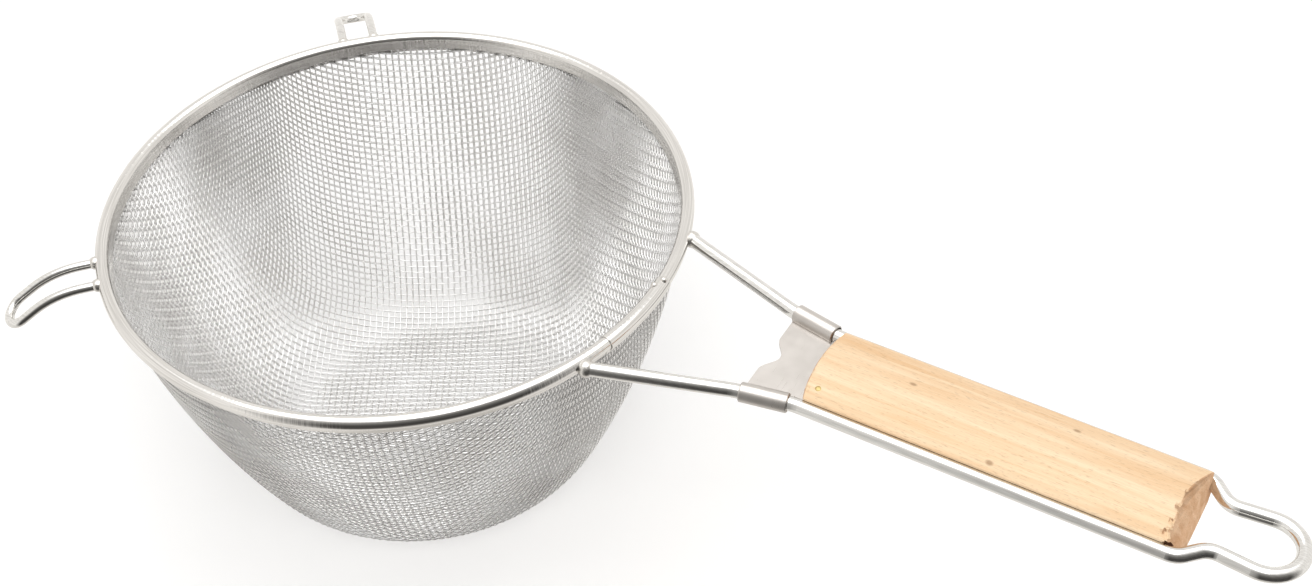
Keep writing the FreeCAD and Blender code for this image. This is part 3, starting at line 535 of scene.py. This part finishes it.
groove_turn = math.acos((WIRE_SPREAD - GRIP_HALF_WIDTH) / GROOVE)
groove_arc = [(WIRE_SPREAD - GROOVE * math.cos(angle), GROOVE * math.sin(angle))
              for angle in (groove_turn * (-1 + step / 7) for step in range(15))]
top = crown_line(GRIP_HALF_WIDTH - FAR_BEVEL, GRIP_SHOULDER, GRIP_CROWN, 36)
top = [(across * (1 - (TOP_BEVEL - FAR_BEVEL) / GRIP_HALF_WIDTH) if across < 0 else across, up)
       for across, up in top]  # the near edge has the wider bevel
under = crown_line(GRIP_HALF_WIDTH - BOTTOM_BEVEL, BELLY_RISE - GRIP_BELLY, -GRIP_BELLY, 24)
side_foot = BOTTOM_BEVEL + BELLY_RISE - GRIP_BELLY
side = [(GRIP_HALF_WIDTH, side_foot)] + groove_arc
far_top, near_top = ([(GRIP_HALF_WIDTH - bevel * share, GRIP_SHOULDER - bevel * (1 - share))
                      for share in (0.0, 0.25, 0.5, 0.75)] for bevel in (FAR_BEVEL, TOP_BEVEL))
bevel_foot = [(GRIP_HALF_WIDTH - BOTTOM_BEVEL * share, side_foot - BOTTOM_BEVEL * share)
              for share in (0.75, 0.5, 0.25)]
right = [(-across, up) for across, up in reversed(bevel_foot + side + near_top)]
section = bevel_foot + side + far_top + top + right + list(reversed(under))
grip_mesh = bmesh.new()
ring = [grip_mesh.verts.new((0, across, up)) for across, up in section]
face = grip_mesh.faces.new(ring)
stations = [0.0, 0.0004, 0.0008, 0.0013, 0.0019, 0.0026, 0.0035, 0.005, 0.008]
stations += [0.008 + (GRIP_LENGTH - 0.016) * step / 34 for step in range(1, 35)]
stations += [GRIP_LENGTH - stop for stop in (0.005, 0.0035, 0.0026, 0.0019, 0.0013, 0.0008, 0.0004, 0.0)]
for before, after in zip(stations, stations[1:]):
    extruded = bmesh.ops.extrude_face_region(grip_mesh, geom=[face])["geom"]
    face = next(item for item in extruded if isinstance(item, bmesh.types.BMFace))
    bmesh.ops.translate(grip_mesh, verts=list(face.verts), vec=(after - before, 0, 0))
SAWN_EDGE = 0.0007  # the sawn ends are eased by sandpaper
for vert in grip_mesh.verts:
    to_end = min(vert.co.x, GRIP_LENGTH - vert.co.x)
    if to_end < SAWN_EDGE:
        ease = SAWN_EDGE - math.sqrt(SAWN_EDGE ** 2 - (SAWN_EDGE - to_end) ** 2)
        vert.co.y *= 1 - ease / GRIP_HALF_WIDTH
        vert.co.z *= 1 - ease / GRIP_CROWN
    front_share = max(0.0, 1 - vert.co.x / 0.008)
    rear_share = max(0.0, 1 - (GRIP_LENGTH - vert.co.x) / 0.012)
    rise = (vert.co.z + GRIP_BELLY) / (GRIP_CROWN + GRIP_BELLY)
    full = 1 - 0.85 * max(0.0, vert.co.y / GRIP_HALF_WIDTH) ** 2  # the saw came out squarer at the far corner
    vert.co.x -= GRIP_LEAN * rise * rear_share * full
    vert.co.x += FRONT_ROUNDING * (vert.co.y / GRIP_HALF_WIDTH) ** 2 * front_share + GRIP_START
for along, across, up, size, depth in NICKS:
    spot = Vector((along, across, up))
    for vert in grip_mesh.verts:
        away = (vert.co - spot).length / size
        if away < 1:
            inward = Vector((0.7 if along < 0.1 else -0.7, 0, 0)) + Vector((0, -across, -up)).normalized()
            ragged = 1 + 0.6 * noise.noise(vert.co * 2500)
            vert.co += inward * (depth * (1 - away * away) * ragged)
for vert in grip_mesh.verts:  # hand sanding leaves the faces a little uneven
    if GRIP_START + 0.002 < vert.co.x < GRIP_START + GRIP_LENGTH - 0.002 and abs(vert.co.z) > 0.0025:
        vert.co.z += 0.00008 * noise.noise(Vector((vert.co.x * 60, vert.co.y * 200, vert.co.z * 50)))
bmesh.ops.recalc_face_normals(grip_mesh, faces=grip_mesh.faces)
# End faces take the sawn-end beech; the groove faces take the dark brown painted shade for the groove's
# shadow.
for item in grip_mesh.faces:
    middle = item.calc_center_median()
    if abs(item.normal.x) > 0.7:
        item.material_index = 1
    elif abs(middle.y) > GRIP_HALF_WIDTH - GROOVE * 0.75 and abs(middle.z) < GROOVE * 0.98:
        item.material_index = 2
bmesh.ops.transform(grip_mesh, verts=grip_mesh.verts, matrix=HANDLE_PLACE)


# The two pin knots, and the nick at the near edge.
DARK_SPOTS = ((0.1874, 0.0030, 0.1094), (0.2366, 0.0096, 0.1078), (0.2187, -0.0131, 0.1069))


def beech_finish(name, pale, deep, sheen):
    """Beech with growth streaks 3 mm apart, pores 0.3 mm apart and the short dark flecks of its rays."""
    material, tree, shader = new_material(name)
    place = add_node(tree, "ShaderNodeTexCoord").outputs["Object"]
    level = add_node(tree, "ShaderNodeMapping",
                     {"Vector": place, "Rotation": (0, -HANDLE_DROOP, 0)}).outputs[0]
    wide = add_node(tree, "ShaderNodeMapping", {"Vector": level, "Scale": (14.0, 330.0, 330.0)}).outputs[0]
    streaks = add_node(tree, "ShaderNodeTexNoise", {"Vector": wide, "Scale": 1.0, "Detail": 4.0,
                                                    "Distortion": 0.6}).outputs["Fac"]
    fine = add_node(tree, "ShaderNodeMapping", {"Vector": level, "Scale": (60.0, 3300.0, 3300.0)}).outputs[0]
    pores = add_node(tree, "ShaderNodeTexNoise", {"Vector": fine, "Scale": 1.0, "Detail": 2.0}).outputs["Fac"]
    short = add_node(tree, "ShaderNodeMapping",
                     {"Vector": level, "Scale": (450.0, 3000.0, 3000.0)}).outputs[0]
    rays = add_node(tree, "ShaderNodeTexNoise", {"Vector": short, "Scale": 1.0, "Detail": 1.0}).outputs["Fac"]
    flecks = add_node(tree, "ShaderNodeMapRange",
                      {"Value": rays, "From Min": 0.60, "From Max": 0.70}).outputs[0]
    grain = add_node(tree, "ShaderNodeMath", {0: pores, 1: 0.35}, operation="MULTIPLY").outputs[0]
    grain = add_node(tree, "ShaderNodeMath", {0: streaks, 1: grain}, operation="ADD").outputs[0]
    tone = add_node(tree, "ShaderNodeValToRGB", {"Fac": grain})
    tone.color_ramp.elements[0].position = 0.42
    tone.color_ramp.elements[0].color = linear(pale)
    tone.color_ramp.elements[1].position = 0.88
    tone.color_ramp.elements[1].color = linear(deep)
    shade = add_node(tree, "ShaderNodeMath", {0: flecks, 1: 0.22}, operation="MULTIPLY").outputs[0]
    for at in DARK_SPOTS:
        drawn_out = Vector((0.55, 1.0, 0.4))  # a pin knot is longer along the grain
        near = add_node(tree, "ShaderNodeVectorMath", {0: place, 1: drawn_out},
                        operation="MULTIPLY").outputs[0]
        near = add_node(tree, "ShaderNodeVectorMath", {0: near, 1: Vector(at) * drawn_out},
                        operation="DISTANCE").outputs["Value"]
        knot = add_node(tree, "ShaderNodeMapRange", {"Value": near, "From Min": 0.00085, "From Max": 0.00035,
                                                     "To Max": 0.55}).outputs[0]
        shade = add_node(tree, "ShaderNodeMath", {0: shade, 1: knot}, operation="MAXIMUM").outputs[0]
    colour = add_node(tree, "ShaderNodeMixRGB", {"Fac": shade, "Color1": tone.outputs["Color"],
                                                 "Color2": linear("#7A4E26")}).outputs[0]
    tree.links.new(colour, shader.inputs["Base Color"])
    dull = add_node(tree, "ShaderNodeMapRange",
                    {"Value": grain, "To Min": sheen, "To Max": sheen + 0.2}).outputs[0]
    tree.links.new(dull, shader.inputs["Roughness"])
    rough = add_node(tree, "ShaderNodeBump",
                     {"Height": grain, "Strength": 0.25, "Distance": 0.0002}).outputs[0]
    tree.links.new(rough, shader.inputs["Normal"])
    return material


sanded = beech_finish("sanded_sealed_beech", "#F2D9B7", "#E3BC90", 0.34)
# The sawn ends drink more sealer and show the fibres' ends, so they are browner and quite matt.
sawn = beech_finish("sawn_beech_end", "#EBC6A2", "#CFA077", 0.7)
# The grooves where the wire lies are painted dark brown: painted shade for the shadow between wood and wire.
groove_painted_shade = beech_finish("painted_shade_beech_groove", "#6B4328", "#3E2414", 0.7)
finish_piece(grip_mesh, "beech_grip", [sanded, sawn, groove_painted_shade], "grip_wood", "wooden_grip")

# ---- Brad: one small brass-plated steel brad driven through the grip's near front corner and the tongue
# below it. Its head is a shallow dome that sits just proud of the wood, dulled by the sealer over it.
BRAD_PLACE = (0.0682, -0.0108, 0.00515)
BRAD_HEAD, BRAD_SHANK, BRAD_LENGTH = 0.0014, 0.00065, 0.010
brad_mesh = bmesh.new()
line = [(0.0, 0.00045), (0.0004, 0.00043), (0.0008, 0.00033), (0.0012, 0.00016), (BRAD_HEAD, 0.0),
        (BRAD_HEAD, -0.0005), (BRAD_SHANK, -0.0006), (BRAD_SHANK, -BRAD_LENGTH + 0.0015), (0.0, -BRAD_LENGTH)]
verts = [brad_mesh.verts.new((across, 0, up)) for across, up in line]
edges = [brad_mesh.edges.new(pair) for pair in zip(verts, verts[1:])]
bmesh.ops.spin(brad_mesh, geom=verts + edges, cent=(0, 0, 0), axis=(0, 0, 1), angle=2 * math.pi, steps=24,
               use_merge=True)
bmesh.ops.remove_doubles(brad_mesh, verts=brad_mesh.verts, dist=1e-6)
bmesh.ops.recalc_face_normals(brad_mesh, faces=brad_mesh.faces)
bmesh.ops.transform(brad_mesh, verts=brad_mesh.verts, matrix=HANDLE_PLACE @ Matrix.Translation(BRAD_PLACE))
brad_metal, tree, shader = new_material("sealed_brass_plate", Metallic=1.0, Coat_Weight=0.3)
place = add_node(tree, "ShaderNodeTexCoord").outputs["Object"]
tarnish = add_node(tree, "ShaderNodeTexNoise",
                   {"Vector": place, "Scale": 1500.0, "Detail": 3.0}).outputs["Fac"]
tone = add_node(tree, "ShaderNodeValToRGB", {"Fac": tarnish})
tone.color_ramp.elements[0].color = linear("#9C8145")
tone.color_ramp.elements[1].color = linear("#D8C38A")
tree.links.new(tone.outputs["Color"], shader.inputs["Base Color"])
dull = add_node(tree, "ShaderNodeMapRange", {"Value": tarnish, "To Min": 0.3, "To Max": 0.5}).outputs[0]
tree.links.new(dull, shader.inputs["Roughness"])
finish_piece(brad_mesh, "brad", [brad_metal], "brad_brass", "grip_brad")
